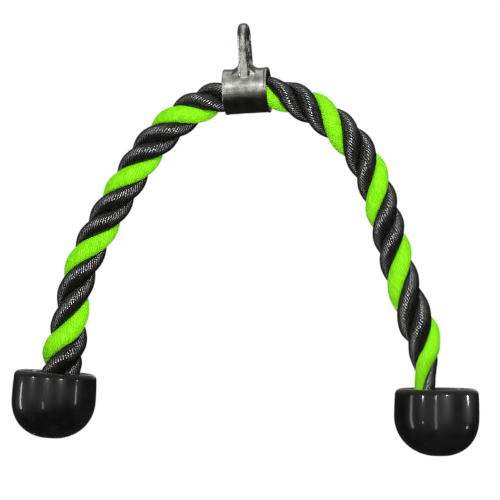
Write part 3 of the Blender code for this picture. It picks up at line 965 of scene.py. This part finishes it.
paint, tree, shader = new_material("pale_floor", Roughness=0.9, Specular_IOR_Level=0.0)
shader.inputs["Base Color"].default_value = (0.85, 0.85, 0.85, 1)
light = add_node(tree, "ShaderNodeLightPath")
seen = math_of(tree, "MAXIMUM", light.outputs["Is Camera Ray"], light.outputs["Is Glossy Ray"])
seen = math_of(tree, "MAXIMUM", seen, light.outputs["Is Transmission Ray"])
glow = add_node(tree, "ShaderNodeEmission", {"Color": (1, 1, 1, 1), "Strength": 1.0})
share = math_of(tree, "MULTIPLY", seen, 0.7)
white = add_node(tree, "ShaderNodeMixShader", {0: share, 1: shader.outputs[0], 2: glow.outputs[0]})
tree.links.new(white.outputs[0], tree.nodes["Material Output"].inputs["Surface"])
floor = add_disc("floor", FLOOR_RADIUS, FLOOR_SIDES, FLOOR_DEPTH, paint)

# A dark card under the object, out of the camera's sight, keeps the rubber's undersides dark
felt, tree, shader = new_material("dark_felt", Roughness=1.0, Specular_IOR_Level=0.0)
shader.inputs["Base Color"].default_value = (0.01, 0.01, 0.01, 1)
shader.inputs["Emission Color"].default_value = (1, 1, 1, 1)
shader.inputs["Emission Strength"].default_value = 0.02
card = add_disc("dark_card", CARD_RADIUS, CARD_SIDES, CARD_DEPTH, felt)
card.visible_camera = False
card.visible_diffuse = False
card.visible_shadow = False

# The surround is white to the camera and dim as a light, and reflections find its back side white too
world = bpy.data.worlds.new("studio")
world.use_nodes = True
bpy.context.scene.world = world
tree = world.node_tree
ambient = tree.nodes["Background"]
light = add_node(tree, "ShaderNodeLightPath")
looked_at = add_node(tree, "ShaderNodeTexCoord").outputs["Generated"]
way = add_node(tree, "ShaderNodeSeparateXYZ", {0: looked_at})
backdrop = range_of(tree, way.outputs["Y"], 0.88, 1.0, interpolation_type="SMOOTHSTEP")
over_horizon = range_of(tree, way.outputs["Z"], 0.08, 0.20, interpolation_type="SMOOTHSTEP")
ceiling = range_of(tree, way.outputs["Z"], -0.05, 0.75, 0.02, 0.23, interpolation_type="SMOOTHSTEP")
mirrored = math_of(tree, "MAXIMUM", light.outputs["Is Glossy Ray"], light.outputs["Is Transmission Ray"])
behind = math_of(tree, "MULTIPLY", mirrored, math_of(tree, "MULTIPLY", backdrop, over_horizon))
level = math_of(tree, "MAXIMUM", ceiling, behind)
level = math_of(tree, "MAXIMUM", level, light.outputs["Is Camera Ray"])
tree.links.new(level, ambient.inputs["Strength"])
ambient.inputs["Color"].default_value = (1, 1, 1, 1)


def shone_on(name, pieces):
    """A collection of pieces that some lamps shine on alone."""
    made = bpy.data.collections.new(name)
    for piece in pieces:
        made.objects.link(piece)
    return made


def add_lamp(name, turn, rise, distance, width, height, power, aim=AIM, shines_on=None):
    """A rectangular lamp aimed at a point; turn is round from the front to the right, rise is above level.

    It either lights everything softly or, with shines_on, shows only as a reflection on those pieces.
    """
    data = bpy.data.lights.new(name, "AREA")
    data.shape = "RECTANGLE"
    data.size = width
    data.size_y = height
    data.energy = power
    made = add_object(name, data)
    turn = math.radians(turn) + CAMERA_TURN
    rise = math.radians(rise)
    out = Vector((math.sin(turn) * math.cos(rise), -math.cos(turn) * math.cos(rise), math.sin(rise)))
    made.location = aim + out * distance
    made.rotation_euler = (-out).to_track_quat("-Z", "Y").to_euler()
    made.visible_camera = False
    if shines_on:
        made.visible_diffuse = False
        made.light_linking.receiver_collection = shines_on
    else:
        made.visible_glossy = False


# Each lamp's turn, rise, distance, width, height and power
add_lamp("key", 4, 26, 2.4, 0.30, 1.6, 52)
add_lamp("fill_left", -58, 18, 2.4, 0.5, 0.9, 6)
add_lamp("fill_right", 62, 14, 2.4, 0.5, 0.9, 6)
add_lamp("fill_back", 180, 25, 2.4, 1.0, 1.0, 28)

laid = shone_on("laid", [left_rope, right_rope, inner_rope])
add_lamp("rope_band", 4, 26, 2.4, 0.30, 1.6, 20, shines_on=laid)
add_lamp("rope_glints", -6, 15, 1.2, 0.08, 1.1, 44, shines_on=laid)
add_lamp("rope_glints_left", -42, 15, 1.2, 0.05, 1.1, 5, shines_on=laid)
add_lamp("rope_glints_right", 38, 15, 1.2, 0.05, 1.1, 3, shines_on=laid)

cast = shone_on("cast", [cast_collar])
add_lamp("cast_front", -14, 27, 2.4, 2.0, 0.7, 13.5, shines_on=cast)
add_lamp("cast_middle", -12, 43, 2.4, 2.0, 0.9, 8.5, shines_on=cast)
add_lamp("cast_upper", -10, 66, 2.4, 2.0, 0.8, 4.5, shines_on=cast)
add_lamp("cast_level", -12, 11, 1.2, 2.4, 0.30, 4.4, shines_on=cast)
add_lamp("cast_low", -20, -18, 0.8, 1.6, 0.30, 0.42, Vector((0, 0, -EYE_DROP)), cast)
add_lamp("cast_end_left", -95, 5, 1.2, 0.25, 0.8, 8, shines_on=cast)
add_lamp("cast_end_right", 97, 0, 1.2, 0.20, 0.6, 5, shines_on=cast)
add_lamp("cast_above", 0, 100, 2.0, 1.4, 1.6, 9, shines_on=cast)

# Streaks and spots on each stopper, as (turn, lowest rise, highest rise, width in degrees, brightness)
STREAKS = {
    "left": (
        (-98, -14, 6, 3.5, 14),
        (-59, 9.5, 12, 3.5, 90),
        (-26, -20, -4, 3.6, 4),
        (-17, 8.5, 11, 4.4, 90),
        (20, 7, 10, 5.0, 80),
        (63, -11, 0, 2.6, 9),
        (66, 2.5, 4.5, 2.2, 60),
    ),
    "right": (
        (-74, -25, 7, 7.0, 3.2),
        (-40, 6, 8, 2.6, 90),
        (-40, -15, -10, 2.6, 9),
        (-5, -28, 5, 6.0, 2.6),
        (-5, 6.3, 8, 2.6, 60),
        (24, 9, 14, 4.0, 90),
        (88, 3.3, 6, 2.6, 120),
        (90, 1.5, 2.3, 1.3, 160),
        (88, -18, -14, 3.0, 16),
    ),
}
STREAK_DISTANCE = 0.55
HAZE_TURN = {"left": -43, "right": -5}
for side, top, down in (("left", LEFT_TOP, LEFT_DOWN), ("right", RIGHT_TOP, RIGHT_DOWN)):
    one_stopper = shone_on(f"{side}_rubber", moulded[side])
    aim = top + down * SHOULDER_DEPTH
    add_lamp(f"{side}_haze", HAZE_TURN[side], -7, STREAK_DISTANCE, 1.1, 0.42, 0.12, aim, one_stopper)
    add_lamp(f"{side}_soft", -5, 24, 1.3, 2.4, 1.2, 0.4, aim, one_stopper)
    for number, (turn, low, high, spread, brightness) in enumerate(STREAKS[side]):
        width = STREAK_DISTANCE * math.radians(spread)
        height = STREAK_DISTANCE * math.radians(high - low)
        power = brightness * math.pi * width * height
        name = f"{side}_streak_{number + 1}"
        add_lamp(name, turn, (low + high) / 2, STREAK_DISTANCE, width, height, power, aim, one_stopper)

bpy.context.scene.view_settings.view_transform = "Standard"
